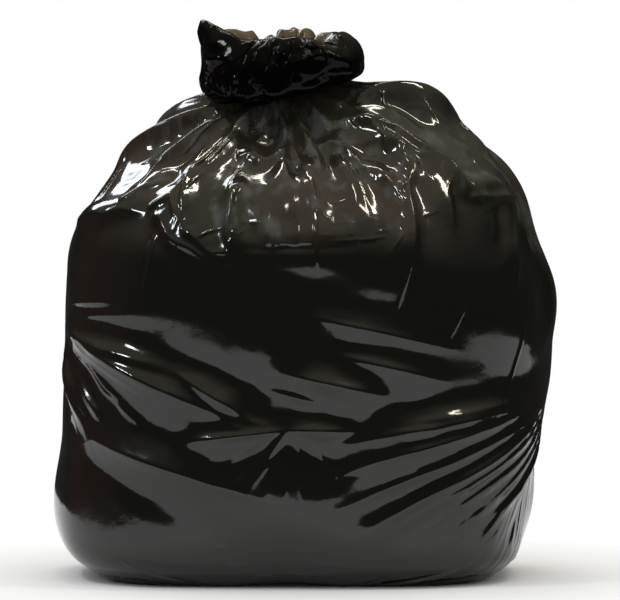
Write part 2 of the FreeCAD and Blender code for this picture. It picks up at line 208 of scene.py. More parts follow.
# Creases of the ruff, in the same way, with each run its distance from the neck out over the rim.
RUFF_FOLDS = {
    "rim_glint": (-6, 88, -5, 78, -8, 68, 2, 4),
    "loop_upper": (20, 84, 30, 86, 38, 80, 2, 3),
    "loop_lower": (20, 84, 29, 78, 38, 80, 2, 3),
    "star_upper": (-56, 66, -46, 62, -40, 70, 2.5, 4),
    "star_stem": (-52, 78, -46, 62, -47, 48, 2, 4),
    "star_lower": (-46, 62, -36, 54, -34, 44, 2, 4),
    "left_slant": (-32, 66, -24, 56, -18, 48, 2, 3.5),
    "under_upper": (-44, 46, -28, 36, -10, 22, 3, 4),
    "under_lower": (-58, 40, -36, 28, -14, 14, 3, 4),
    "left_notch": (-84, 66, -72, 74, -60, 84, 4, -5),
    "tip_facet": (-74, 112, -66, 96, -50, 88, 2.5, 4),
    "right_roll": (10, 66, 34, 70, 62, 62, 6, 4),
    "right_lower": (14, 44, 40, 46, 66, 40, 5, -3),
    "back_one": (150, 84, 162, 60, 158, 30, 3, 4),
    "back_two": (196, 88, 204, 58, 198, 26, 3, 4),
    "back_three": (236, 92, 230, 66, 238, 34, 3, 4),
    "back_four": (112, 90, 118, 62, 110, 34, 3, 4),
}

# Dark bands: where the film lies in two layers and lets no light through, and a painted shade in the furrow
# round the neck under the ruff. Bent lines as above, with a half width and a share.
DOUBLED_AND_SHADE = {
    "ear_band": (72, 36, 80, 108, 86, 186, 24, 1.2),
    "ear_seam": (64, 56, 76, 108, 82, 172, 7, 0.8),
    "left_flap": (-84, 118, -72, 70, -48, 34, 12, 0.8),
    # Painted shade: the furrow round the neck, darkened where the ruff above shades it.
    "neck_furrow": (-8, 22, -26, 46, -42, 74, 8, 0.8),
    "back_band": (170, 40, 160, 96, 166, 150, 12, 0.7),
}

# The hem of the loose film over the shoulders, below which it lies on the contents and above which the light
# coming
# through it is painted: bearing and height. Then how soft and how wavy the hem is.
HEM = ((-90, 370), (-65, 384), (-46, 386), (-32, 356), (-18, 346), (0, 346), (12, 356), (22, 380), (30, 352),
       (38, 372), (50, 396), (68, 380), (78, 330), (92, 312), (140, 346), (200, 352), (240, 366))
HEM_SOFTNESS = 12 * MM
HEM_WAVE = 14 * MM

# Where fine streaks meet: bearing, height, the first and last direction they leave in (0 is level to the
# photo's right, 90 is up), how far they run, and how many there are between those directions.
STREAKS = {
    "right_fan": (86, 186, 176, 262, 300, 26),
    "left_fan": (-80, 262, 284, 352, 210, 18),
    "star": (-6, 158, 120, 400, 90, 20),
    "back_fan": (104, 190, 290, 352, 240, 20),
    "back_left_fan": (250, 250, 190, 262, 230, 18),
}


def smooth_step(values, low, high):
    """0 below low, 1 above high, and smooth between."""
    share = np.clip((values - low) / (high - low), 0, 1)
    return share * share * (3 - 2 * share)


def blur(grid, around, along, times=1):
    """The grid averaged over that many points to each side, round the rings and along the rows."""
    for _ in range(times):
        grid = sum(np.roll(grid, shift, axis=1) for shift in range(-around, around + 1)) / (2 * around + 1)
        if along:
            padded = np.concatenate([np.repeat(grid[:1], along, 0), grid, np.repeat(grid[-1:], along, 0)])
            grid = sum(padded[k:k + grid.shape[0]] for k in range(2 * along + 1)) / (2 * along + 1)
    return grid


def normals_of(grid):
    """Outward normals of a grid of rings."""
    normal = np.cross(np.roll(grid, -1, 1) - np.roll(grid, 1, 1), np.gradient(grid, axis=0))
    return normal / np.maximum(np.linalg.norm(normal, axis=2, keepdims=True), 1e-12)


def noise_at(points, scale, shift=0.0):
    """Smooth noise from about -1 to 1, that many cells of it to a metre; shift picks another pattern."""
    offset = Vector((shift, 2 * shift, 3 * shift))
    values = [noise.noise(Vector(point) * scale + offset) for point in points.reshape(-1, 3)]
    return np.array(values).reshape(points.shape[:-1])


def coarse_noise(points, scale, shift=0.0, step=4):
    """The same noise, worked out at every few points and smoothed between them."""
    values = noise_at(points[::step, ::step], scale, shift)
    values = values.repeat(step, 0).repeat(step, 1)[:points.shape[0], :points.shape[1]]
    return blur(values[..., None], step // 2, step // 2, 2)[..., 0]


def along_path(points, count):
    """That many points at even steps along a path."""
    points = np.array(points)
    marks = np.r_[0, np.cumsum(np.linalg.norm(np.diff(points, axis=0), axis=1))]
    places = np.linspace(0, marks[-1], count)
    return np.stack([np.interp(places, marks, points[:, axis]) for axis in range(3)], axis=1)


def rays(tree, heart, bearing, low, high, count):
    """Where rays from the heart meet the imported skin, from low to high elevation, at one bearing."""
    start = Vector(heart)
    for elevation in np.radians(np.linspace(low, high, count)):
        level = math.cos(elevation)
        way = Vector((math.sin(bearing) * level, -math.cos(bearing) * level, math.sin(elevation)))
        hit = tree.ray_cast(start, way)[0]
        if hit is not None:
            yield hit


def body_rings(tree):
    """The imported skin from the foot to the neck, as rings of points."""
    low, high, count, jump = -58, 88, 560, 25 * MM
    columns = []
    for column in range(AROUND):
        path = []
        for hit in rays(tree, HEART, 2 * math.pi * column / AROUND, low, high, count):
            if hit.z < FLOOR_GAP:
                continue
            at_neck = hit.z > NECK_LOWEST and math.hypot(hit.x - HEART[0], hit.y) < NECK_RADIUS
            if at_neck or (path and (hit - path[-1]).length > jump):
                break
            path.append(hit)
        columns.append(along_path(path, BODY_ROWS))
    return np.stack(columns, axis=1)


def ruff_rings(tree, neck_ring):
    """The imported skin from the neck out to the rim, and from there a dish down to a narrow throat."""
    low, high, count = -55, 80, 300
    throat = np.array((-20 * MM, 0.0, 514 * MM))
    throat_radius = 5 * MM
    inner_steps = 40
    inward_bend, downward_bend = 0.8, 0.6
    columns = []
    for column in range(AROUND):
        bearing = 2 * math.pi * column / AROUND
        path = [neck_ring[column]]
        for hit in rays(tree, RUFF_HEART, bearing, low, high, count):
            near = (hit - Vector(RUFF_HEART)).length < RUFF_REACH
            if near and math.hypot(hit.x - HEART[0], hit.y) > NECK_RADIUS:
                path.append(np.array(hit))
        top = int(np.argmax([point[2] for point in path]))
        rim = path[top]
        path = path[:top + 1]
        end = throat + throat_radius * np.array((math.sin(bearing), -math.cos(bearing), 0))
        for step in range(1, inner_steps + 1):
            share = step / inner_steps
            inward = 1 - (1 - share) ** inward_bend
            height = rim[2] + (end[2] - rim[2]) * share ** downward_bend
            path.append(np.array((*(rim + (end - rim) * inward)[:2], height)))
        columns.append(along_path(path, RUFF_ROWS))
    return np.stack(columns, axis=1)


def turn_between(bearing, start):
    """The signed angle from the start to the bearing, in degrees, from -180 to 180."""
    return (bearing - start + 180) % 360 - 180


def crease_field(points, creases):
    """The height of the tallest crease less the depth of the deepest furrow, on the skin laid flat."""
    narrow_start, widening, sharpness = 0.5, 0.9, 1.3
    middle, reach = 0.45, 0.62
    bearing = np.degrees(np.arctan2(points[..., 0], -points[..., 1]))
    ridges, furrows = np.zeros(points.shape[:2]), np.zeros(points.shape[:2])
    for start, start_height, end, end_height, width, rise in creases.values():
        across = turn_between(bearing, start) * BODY_ARC
        up = points[..., 2] - start_height * MM
        run = turn_between(end, start) * BODY_ARC
        climb = (end_height - start_height) * MM
        length = math.hypot(run, climb)
        along = (across * run + up * climb) / length
        aside = np.abs(across * climb - up * run) / length
        spread = width * MM * (narrow_start + widening * np.clip(along / length, 0, 1))
        fade = np.clip(np.abs(along - middle * length) / (reach * length), 0, 1)
        stand = rise * MM * np.exp(-(aside / spread) ** sharpness) * (1 - fade * fade) ** 2
        ridges, furrows = np.maximum(ridges, stand), np.minimum(furrows, stand)
    return ridges + furrows


def run_below_neck(points):
    """Each point's distance below the neck, along its column of the grid."""
    steps = np.linalg.norm(np.diff(points, axis=0), axis=2)
    return np.concatenate([np.cumsum(steps[::-1], axis=0)[::-1], np.zeros((1, points.shape[1]))])


def fold_field(points, run, folds, axis=0.0, unit=MM, sharpness=1.3):
    """The height of the tallest fold less the depth of the deepest furrow, round an upright at that X."""
    end_drop = 0.7
    arc = math.radians(1) * np.hypot(points[..., 0] - axis, points[..., 1])
    bearing = np.degrees(np.arctan2(points[..., 0] - axis, -points[..., 1]))
    ridges, furrows = np.zeros(points.shape[:2]), np.zeros(points.shape[:2])
    for *ends, width, rise in folds.values():
        for half in (0, 1):
            start, start_run, end, end_run = ends[2 * half:2 * half + 4]
            across, down = turn_between(bearing, start) * arc, run - start_run * MM
            sideways, onward = turn_between(end, start) * arc, (end_run - start_run) * MM
            share = np.clip((across * sideways + down * onward) / (sideways ** 2 + onward ** 2), 0, 1)
            aside = np.hypot(across - share * sideways, down - share * onward)
            swell = 1 - end_drop * (half + share - 1) ** 4
            stand = rise * unit * swell * np.exp(-(aside / (width * MM)) ** sharpness)
            ridges, furrows = np.maximum(ridges, stand), np.minimum(furrows, stand)
    return ridges + furrows


def streak_field(points):
    """Fine streaks that fan out from where the film is pulled together, from 0 to 1."""
    streak_length, sharpness, faintest = 90 * MM, 3, 0.001
    bearing = np.degrees(np.arctan2(points[..., 0], -points[..., 1]))
    field = np.zeros(points.shape[:2])
    for key, (start, height, first, last, reach, count) in enumerate(STREAKS.values()):
        across, up = turn_between(bearing, start) * BODY_ARC, points[..., 2] - height * MM
        away = np.hypot(across, up)
        middle, half = 0.5 * (first + last), 0.5 * (last - first)
        turn = turn_between(np.degrees(np.arctan2(up, across)), middle)
        fade = smooth_step(half - np.abs(turn), 0, 0.25 * half)
        fade *= 1 - smooth_step(away, 0.4 * reach * MM, reach * MM)
        fade *= smooth_step(away, 8 * MM, 40 * MM)
        apart = np.full_like(away, 7.3 * key)
        where = np.stack([turn * count / (2 * half), away / streak_length, apart], axis=-1)
        shown = fade > faintest
        ridges = np.zeros(field.shape)
        ridges[shown] = 1 - np.abs(noise_at(where[shown][None], 1.0)[0]) * sharpness
        field = np.maximum(field, fade * np.clip(ridges, 0, 1) ** 2)
    return field


class Contents:
    """What the bag holds, as its reach from the heart by bearing and elevation."""

    LOW, HIGH, COUNT = math.radians(-75), math.radians(90), 512

    def __init__(self, grid):
        away = grid - HEART
        reach = np.linalg.norm(away, axis=2)
        elevation = np.arcsin(away[..., 2] / reach)
        marks = np.linspace(self.LOW, self.HIGH, self.COUNT)
        self.table = np.zeros((grid.shape[1], self.COUNT))
        for column in range(grid.shape[1]):
            order = np.argsort(elevation[:, column])
            self.table[column] = np.interp(marks, elevation[order, column], reach[order, column])

    def reach(self, points):
        """Each point's offset from the heart, its distance, and the contents' reach that way."""
        away = points - HEART[:, None, None]
        distance = np.sqrt((away * away).sum(0))
        column = np.arctan2(away[0], -away[1]) / (2 * math.pi) * AROUND
        mark = (np.arcsin(np.clip(away[2] / distance, -1, 1)) - self.LOW) / (self.HIGH - self.LOW)
        mark = np.clip(mark * (self.COUNT - 1), 0, self.COUNT - 1.001)
        first, low = np.floor(column).astype(int) % AROUND, mark.astype(int)
        across, up = column - np.floor(column), mark - low
        second = (first + 1) % AROUND
        lower = self.table[first, low] * (1 - across) + self.table[second, low] * across
        upper = self.table[first, low + 1] * (1 - across) + self.table[second, low + 1] * across
        return away, distance, lower * (1 - up) + upper * up

    def keep_out(self, points, before, friction):
        """Points inside the contents are pushed out, and held back by friction where they touch."""
        away, distance, reach = self.reach(points)
        inside = distance < reach
        pushed = HEART[:, None, None] + away * np.where(inside, reach / distance, 1.0)
        moved = np.where(inside, pushed + friction * (before - pushed), pushed)
        moved[2] = np.maximum(moved[2], FLOOR_GAP)
        return moved.astype(np.float32)


def pull(first, second, length, first_free, second_free, strength, push_only=False):
    """Moves two sets of points towards their length apart, in place; push_only never draws them together."""
    gap = second - first
    distance = np.sqrt((gap * gap).sum(0)) + 1e-9
    share = strength * (1 - length / distance) / np.maximum(first_free + second_free, 1e-6)
    if push_only:
        share = np.minimum(share, 0)
    gap *= share
    first += gap * first_free
    second -= gap * second_free


class Film:
    """One level of detail of the film: points, their free lengths and what holds them."""

    def __init__(self, points, plain, across_share, along_share):
        def turned(grid):
            return np.ascontiguousarray(np.moveaxis(grid, 2, 0), np.float32)

        self.points = turned(points)
        self.plain, self.normal = turned(plain), turned(normals_of(plain))
        across = np.linalg.norm(np.roll(plain, -1, 1) - plain, axis=2) * across_share
        along = np.linalg.norm(plain[1:] - plain[:-1], axis=2) * 0.5 * (along_share[1:] + along_share[:-1])
        self.across, self.along = across.astype(np.float32), along.astype(np.float32)
        self.slanted = np.hypot(0.5 * (self.across[1:] + self.across[:-1]), self.along)
        self.free = np.ones(plain.shape[:2], np.float32)
        self.free[0] = self.free[-1] = 0
        self.ends = self.points[:, 0].copy(), self.points[:, -1].copy()

    def hold_across(self, reach, length, strength, push_only=False):
        """Holds each point and the one that many places on in its ring at their length."""
        for start in range(2 * reach):
            here = np.arange(start, self.points.shape[2], 2 * reach)
            there = (here + reach) % self.points.shape[2]
            first, second = self.points[:, :, here], self.points[:, :, there]
            pull(first, second, length[:, here], self.free[:, here], self.free[:, there], strength, push_only)
            self.points[:, :, here], self.points[:, :, there] = first, second

    def hold_along(self, reach, length, strength, push_only=False):
        """The same up the film, from ring to ring."""
        for start in range(2 * reach):
            here = slice(start, self.points.shape[1] - reach, 2 * reach)
            there = slice(start + reach, self.points.shape[1], 2 * reach)
            pull(self.points[:, here], self.points[:, there], length[here], self.free[here], self.free[there],
                 strength, push_only)

    def hold_slanted(self, strength):
        """The same for opposite corners of each cell, so the film shears little."""
        rows = self.points.shape[1]
        pairs = (slice(None, -1), slice(1, None)), (slice(-1, None), slice(0, 1))
        for start in (0, 1):
            here, there = slice(start, rows - 1, 2), slice(start + 1, rows, 2)
            for near, far in pairs:
                for one, other in ((near, far), (far, near)):
                    pull(self.points[:, here, one], self.points[:, there, other], self.slanted[here, one],
                         self.free[here, one], self.free[there, other], strength)

    def settle(self, steps, push, keep):
        """Steps the film forward: push moves it, and keep holds it where it may be."""
        time_step, kept_speed, rounds = 1 / 60, 0.9, 6
        stiffness, shear_strength, bend_strength = 0.85, 0.35, 0.3
        double_across = stiffness * (self.across + np.roll(self.across, -1, 1))
        double_along = stiffness * (self.along[1:] + self.along[:-1])
        speed = np.zeros_like(self.points)
        for _ in range(steps):
            before = self.points.copy()
            self.points += speed * (time_step * kept_speed) + push * (time_step ** 2) * self.free
            for _ in range(rounds):
                self.hold_across(1, self.across, 1.0)
                self.hold_along(1, self.along, 1.0)
                self.hold_slanted(shear_strength)
                self.hold_across(2, double_across, bend_strength, push_only=True)
                self.hold_along(2, double_along, bend_strength, push_only=True)
                self.points[:, 0], self.points[:, -1] = self.ends
            self.points = keep(self.points, before)
            self.points[:, 0], self.points[:, -1] = self.ends
            speed = (self.points - before) / time_step
        return np.moveaxis(self.points, 0, 2)


def finer(points, rows, columns):
    """The grid with a point put between each two."""
    wide = np.zeros((points.shape[0], columns, 3))
    wide[:, ::2] = points
    wide[:, 1::2] = 0.5 * (points + np.roll(points, -1, 1))
    full = np.zeros((rows, columns, 3))
    full[::2] = wide
    full[1::2] = 0.5 * (wide[:-1] + wide[1:])
    return full


def settled(start, plain, across_share, along_share, steps, push_at, keep_at, seeds):
    """The film settled level by level, from coarse to fine; each finer one gets some of the seeds again."""
    seeds_again = 0.3
    normal = normals_of(plain)
    points = start[::LEVELS[0], ::LEVELS[0]]
    for level, count in zip(LEVELS, steps):
        pick = slice(None, None, level)
        if level != LEVELS[0]:
            points = finer(points, *plain[pick, pick].shape[:2])
            points = points + normal[pick, pick] * (seeds_again * seeds[pick, pick])[..., None]
        film = Film(points, plain[pick, pick], across_share[pick, pick], along_share[pick, pick])
        points = film.settle(count, push_at(film), keep_at(film))
    return points


def body_film(skin):
    """The film from the foot to the neck, its stand-off from the contents, and its bands of two layers and
    painted shade.
    """
    plain = blur(skin, 3, 2)
    plain[0], plain[-1] = skin[0], skin[-1]
    broad = blur(skin, 13, 8, 2)
    normal, run, height = normals_of(broad), run_below_neck(broad), plain[..., 2]
    loose = smooth_step(height, LOOSE_FROM, LOOSE_TO)
    lumps = coarse_noise(plain, 9.0) + 0.6 * coarse_noise(plain, 19.0, 1.0)
    below_neck = smooth_step(run, 10 * MM, 50 * MM)
    folds = fold_field(plain, run, FOLDS, sharpness=1.05)
    creases = crease_field(plain, CREASES)
    crests = np.where(creases < 0, creases, np.maximum(creases, below_neck * folds))
    crests += crease_field(plain, SWELLS) + STREAK_HEIGHT * streak_field(plain)
    inset = below_neck * (INSET + LOOSE_INSET * loose + LUMP_HEIGHT * lumps) * MM - crests
    contents = Contents(plain - normal * inset[..., None])

    spare = BODY_SPARE * loose * below_neck * (1 + 0.8 * coarse_noise(plain, 14.0, 4.0))
    across_share = BODY_AROUND + spare
    along_share = 1 - BODY_UPWARD_CUT * smooth_step(height, 20 * MM, 60 * MM) * below_neck
    seeds = BODY_WAVES * coarse_noise(plain, 40.0, 0.0, 2) * below_neck
    start = plain + normal * (crests + seeds)[..., None]
    start[0], start[-1] = skin[0], skin[-1]

    def push_at(film):
        """What draws the film onto the contents: less of it, and more weight, where the film is loose."""
        raised = smooth_step(film.plain[2], LOOSE_FROM, LOOSE_TO)
        push = film.normal * (-INWARD + LOOSE_OUTWARD * raised)
        push[2] -= WEIGHT + LOOSE_WEIGHT * raised
        return push.astype(np.float32)

    def keep_at(film):
        return lambda points, before: contents.keep_out(points, before, BODY_GRIP)

    points = settled(start, plain, across_share, along_share, BODY_STEPS, push_at, keep_at, seeds)
    points[1:-1] = 0.5 * (points + blur(points, 1, 1))[1:-1]
    _, distance, reach = contents.reach(np.moveaxis(points, 2, 0))
    doubled_and_shade = np.clip(fold_field(plain, run, DOUBLED_AND_SHADE, unit=1.0), 0, 1)
    return points, distance - reach, doubled_and_shade


def ruff_film(skin):
    """The film of the gathered mouth, from the neck over the rim and down inside."""
    plain = blur(skin, 12, 2, 2)
    plain[0], plain[-1] = skin[0], skin[-1]
    bearing = np.degrees(np.arctan2(skin[..., 0] - RUFF_HEART[0], -skin[..., 1]))
    top = plain[..., 2].max(axis=0)
    near_rim = smooth_step(plain[..., 2] - top, -32 * MM, 0)
    tip = np.exp(-(turn_between(bearing, TIP_BEARING) / TIP_WIDTH) ** 2)
    plain[..., 2] += near_rim * (RIM_RISE + TIP_RISE * tip) * MM
    plain[..., 0] -= near_rim * TIP_LEAN * tip * MM
    normal = normals_of(plain)
    steps = np.linalg.norm(np.diff(plain, axis=0), axis=2)
    run = np.concatenate([np.zeros((1, AROUND)), np.cumsum(steps, axis=0)])
    sag = smooth_step(run, 12 * MM, 40 * MM) * smooth_step(-normal[..., 2], 0.1, 0.8)
    crests = smooth_step(run, 0, 12 * MM) * fold_field(plain, run, RUFF_FOLDS, RUFF_HEART[0])
    crests[-1] = 0
    plain = plain + normal * (RUFF_SAG * sag + crests)[..., None]
    rows = ruff_rows()
    spare = smooth_step(rows, 0.0, 0.25) * (1 - 0.6 * smooth_step(rows, 0.75, 1.0))
    across_share = 1 + RUFF_SPARE * spare * (1 + 0.6 * coarse_noise(plain, 22.0, 7.0))
    along_share = 1 + RUFF_SPARE_OVER * spare
    seeds = RUFF_WAVES * coarse_noise(plain, 30.0, 2.0, 2) * spare
    start = plain + normal * seeds[..., None]
    start[0], start[-1] = skin[0], skin[-1]

    def push_at(film):
        """The air inside pushes the film out, and its weight pulls it down."""
        push = film.normal * RUFF_OUTWARD
        push[2] -= RUFF_WEIGHT
        return push.astype(np.float32)

    def keep_at(film):
        def keep(points, before):
            stray = points - film.plain
            distance = np.sqrt((stray * stray).sum(0)) + 1e-9
            return film.plain + stray * np.minimum(1, RUFF_LEEWAY / distance)
        return keep

    return settled(start, plain, across_share, along_share, RUFF_STEPS, push_at, keep_at, seeds)


def ruff_rows():
    """How far along the ruff each point's ring is, from 0 at the neck to 1 inside."""
    return np.repeat(np.linspace(0, 1, RUFF_ROWS)[:, None], AROUND, axis=1)


def crumpled(points, size, scale, shift):
    """The film with fine facets of that size pressed into it, as handling leaves."""
    ridged = 1 - 2 * np.abs(noise_at(points, scale, shift)) - np.abs(noise_at(points, 2.3 * scale, shift + 5))
    offset = (size * ridged)[..., None]
    offset[0] = offset[-1] = 0
    return points + normals_of(points) * offset


def sheet_mesh(name, points, normals, attributes, cap=None):
    """A smooth mesh of the rings; cap is the end ring, 0 or -1, that a flat fan closes, or None."""
    rows, columns = points.shape[:2]
    index = np.arange(rows * columns).reshape(rows, columns)
    beside = np.roll(index, -1, axis=1)
    faces = np.stack([index[:-1], beside[:-1], beside[1:], index[1:]], axis=-1).reshape(-1, 4).tolist()
    vertices, ways = points.reshape(-1, 3).tolist(), normals.reshape(-1, 3).tolist()
    values = {key: list(np.ravel(given)) for key, given in attributes.items()}
    if cap is not None:
        ring = index[cap] if cap else index[cap][::-1]
        pairs = zip(ring.tolist(), np.roll(ring, -1).tolist())
        faces += [(first, second, len(vertices)) for first, second in pairs]
        vertices.append(points[cap].mean(axis=0).tolist())
        ways.append((0, 0, 1) if cap else (0, 0, -1))
        values = {key: given + [given[index[cap][0]]] for key, given in values.items()}
    mesh = bpy.data.meshes.new(name)
    mesh.from_pydata(vertices, [], faces)
    mesh.polygons.foreach_set("use_smooth", [True] * len(mesh.polygons))
    for key, given in values.items():
        layer = mesh.attributes.new(key, "FLOAT", "POINT")
        layer.data.foreach_set("value", np.array(given, np.float32))
    mesh.update()
    mesh.normals_split_custom_set_from_vertices(ways)
    piece = bpy.data.objects.new(name, mesh)
    bpy.context.scene.collection.objects.link(piece)
    return piece


class Nodes:
    """Short calls for a material's or world's nodes."""

    def __init__(self, owner):
        owner.use_nodes = True
        self.tree = owner.node_tree
        self.tree.nodes.clear()

    def add(self, kind, **settings):
        node = self.tree.nodes.new(kind)
        for key, value in settings.items():
            setattr(node, key, value)
        return node

    def link(self, source, target):
        self.tree.links.new(source, target)

    def value(self, operation, first, second):
        node = self.add("ShaderNodeMath", operation=operation)
        for socket, given in zip(node.inputs, (first, second)):
            if isinstance(given, (int, float)):
                socket.default_value = given
            else:
                self.link(given, socket)
        return node.outputs[0]

    def mixed(self, share, first, second):
        """A colour between two, by share."""
        node = self.add("ShaderNodeMix", data_type="RGBA")
        self.link(share, node.inputs[0])
        for socket, given in ((node.inputs[6], first), (node.inputs[7], second)):
            if isinstance(given, tuple):
                socket.default_value = (*given, 1)
            else:
                self.link(given, socket)
        return node.outputs[2]

    def spread(self, source, low, high, new_low, new_high):
        """A value mapped from one range to another, held inside it."""
        node = self.add("ShaderNodeMapRange")
        self.link(source, node.inputs[0])
        for socket, given in zip(node.inputs[1:5], (low, high, new_low, new_high)):
            socket.default_value = given
        return node.outputs[0]


# The film's colours: over the contents in one layer and in two; loose, in two tints that are the film's own
# brownish tone with the light coming through it painted in, and in paler streaks of painted light; and where
# light comes through it.
BACKED = (0.0052, 0.0052, 0.0040)
BACKED_DOUBLED = (0.0008, 0.0008, 0.0008)
OLIVE = (0.018, 0.019, 0.011)
REDDISH = (0.036, 0.024, 0.019)
PAINTED_LIGHT_STREAK = (0.070, 0.072, 0.067)
LIT_THROUGH = (0.115, 0.085, 0.052)

# The refraction that sets how strongly each part of the film mirrors the room, and what the roughness of
# the film lies between.
BODY_REFRACTION = 1.56
RUFF_REFRACTION = 1.22
LEAST_ROUGH, MOST_ROUGH = 0.06, 0.14

# The finest wrinkles, as bump: how strong it is and how deep.
BUMP_STRENGTH = 0.15
BUMP_DEPTH = 0.5 * MM


def film_material(name, refraction):
    """Thin black film: glossy, with light coming through it painted in as a browner, paler colour where it
    stands off the contents.
    """
    material = bpy.data.materials.new(name)
    nodes = Nodes(material)
    shader = nodes.add("ShaderNodeBsdfPrincipled")
    output = nodes.add("ShaderNodeOutputMaterial")
    nodes.link(shader.outputs[0], output.inputs[0])
    shader.inputs["IOR"].default_value = refraction

    place = nodes.add("ShaderNodeTexCoord").outputs["Object"]

    def texture(kind, scale, stretch=(1, 1, 1), **inputs):
        mapping = nodes.add("ShaderNodeMapping")
        mapping.inputs["Scale"].default_value = stretch
        nodes.link(place, mapping.inputs["Vector"])
        node = nodes.add(kind)
        nodes.link(mapping.outputs[0], node.inputs["Vector"])
        node.inputs["Scale"].default_value = scale
        for key, given in inputs.items():
            node.inputs[key].default_value = given
        return node

    def painted(key):
        return nodes.add("ShaderNodeAttribute", attribute_name=key).outputs["Fac"]

    clouds = texture("ShaderNodeTexNoise", 9, Detail=3).outputs["Fac"]
    # Paler streaks of painted light coming through the loose film.
    streaks = texture("ShaderNodeTexNoise", 60, (1, 1, 0.12), Detail=2).outputs["Fac"]
    tint = nodes.mixed(nodes.spread(clouds, 0.4, 0.6, 0, 1), OLIVE, REDDISH)
    loose_light_colour = nodes.mixed(nodes.spread(streaks, 0.5, 0.7, 0, 1), tint, PAINTED_LIGHT_STREAK)
    backed = nodes.mixed(painted("layers"), BACKED, BACKED_DOUBLED)
    # Over the contents the film keeps its near-black; where it stands off them, light coming through it is
    # painted in.
    colour = nodes.mixed(painted("lit_through"), nodes.mixed(painted("painted_light"), backed, loose_light_colour), LIT_THROUGH)
    nodes.link(colour, shader.inputs["Base Color"])
    haze = texture("ShaderNodeTexNoise", 22, Detail=4).outputs["Fac"]
    nodes.link(nodes.spread(haze, 0.3, 0.7, LEAST_ROUGH, MOST_ROUGH), shader.inputs["Roughness"])

    creases = texture("ShaderNodeTexVoronoi", 46)
    creases.feature = "DISTANCE_TO_EDGE"
    wrinkles = texture("ShaderNodeTexNoise", 130, Detail=3, Roughness=0.6).outputs["Fac"]
    height = nodes.value("ADD", nodes.value("MULTIPLY", creases.outputs["Distance"], 1.6), wrinkles)
    bump = nodes.add("ShaderNodeBump")
    bump.inputs["Strength"].default_value = BUMP_STRENGTH
    bump.inputs["Distance"].default_value = BUMP_DEPTH
    nodes.link(height, bump.inputs["Height"])
    nodes.link(bump.outputs[0], shader.inputs["Normal"])
    return material


def painted_light_share(body, stand_off, doubled_and_shade):
    """How much light coming through the body's film is painted in, from 0 to 1: above its hem, off the
    contents, and outside the dark bands.
    """
    bearing = np.degrees(np.arctan2(body[..., 0], -body[..., 1]))
    hem = np.interp(bearing, *zip(*HEM), period=360) * MM + HEM_WAVE * coarse_noise(body, 22.0, 9.0)
    loosened = smooth_step(body[..., 2] - hem, -HEM_SOFTNESS, HEM_SOFTNESS)
    return loosened * (0.6 + 0.4 * smooth_step(stand_off, 1 * MM, 9 * MM)) * (1 - doubled_and_shade)


def light_through(ruff, normals, inside):
    """How much light comes through the ruff's back wall on its inner side, from 0 to 1."""
    behind = smooth_step(ruff[..., 1], 0, 20 * MM) * smooth_step(ruff[..., 2], 525 * MM, 545 * MM)
    facing_front = smooth_step(-normals[..., 1], -0.1, 0.3)
    light = inside * behind * facing_front * (0.75 + 0.5 * coarse_noise(ruff, 40.0, 12.0, 2))
    return np.clip(light, 0, 1)


def build_bag():
    """The bag's film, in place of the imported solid: the body in bands, and the ruff."""
    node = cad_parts["filled_bag"]
    tree = BVHTree.FromPolygons([vertex.co for vertex in node.data.vertices],
                                [tuple(polygon.vertices) for polygon in node.data.polygons])
    body, stand_off, doubled_and_shade = body_film(body_rings(tree))
    ruff = ruff_film(ruff_rings(tree, body[-1]))
    loose = smooth_step(body[..., 2], 310 * MM, 370 * MM)
    body = crumpled(body, (BODY_FACETS + LOOSE_FACETS * loose) * MM, 42.0, 3.0)
    ruff = crumpled(ruff, RUFF_FACETS, 48.0, 8.0)
    body_normals, ruff_normals = normals_of(body), normals_of(ruff)
    # Where light coming through the loose body film is painted into its colour.
    painted_light = painted_light_share(body, stand_off, doubled_and_shade)
    inside = smooth_step(ruff_rows(), 0.60, 0.66)

    body_material = film_material("body_film", BODY_REFRACTION)
    ruff_material = film_material("ruff_film", RUFF_REFRACTION)
    pieces = []
    marks = [band * (BODY_ROWS - 1) // BODY_BANDS for band in range(BODY_BANDS + 1)]
    for band, (low, high) in enumerate(zip(marks, marks[1:])):
        rows = slice(low, high + 1)
        attributes = {"painted_light": painted_light[rows], "layers": 0 * painted_light[rows]}
        name, cap = f"film_body_{band + 1}", None if band else 0
        piece = sheet_mesh(name, body[rows], body_normals[rows], attributes, cap)
        pieces.append((piece, body_material))
    # The ruff's inner dish has light coming through the film painted into its colour.
    attributes = {"painted_light": 0.6 * inside, "layers": 1 - inside,
                  "lit_through": light_through(ruff, ruff_normals, inside)}
    pieces.append((sheet_mesh("film_ruff", ruff, ruff_normals, attributes, -1), ruff_material))
    for piece, material in pieces:
        piece.data.materials.append(material)
        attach(piece, "root")
        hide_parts("filled_bag")


def white_for_view(nodes):
    """1 for rays from the camera and for those that glossy or clear things send on."""
    path = nodes.add("ShaderNodeLightPath")
    seen = nodes.value("MAXIMUM", path.outputs["Is Camera Ray"], path.outputs["Is Glossy Ray"])
    return nodes.value("MAXIMUM", seen, path.outputs["Is Transmission Ray"])


def staged(name, vertices, faces):
    """A piece of the studio, with a material of its own whose nodes are still to be added."""
    mesh = bpy.data.meshes.new(name)
    mesh.from_pydata(vertices, [], faces)
    piece = bpy.data.objects.new(name, mesh)
    bpy.context.scene.collection.objects.link(piece)
    material = bpy.data.materials.new(name)
    mesh.materials.append(material)
    return piece, Nodes(material)


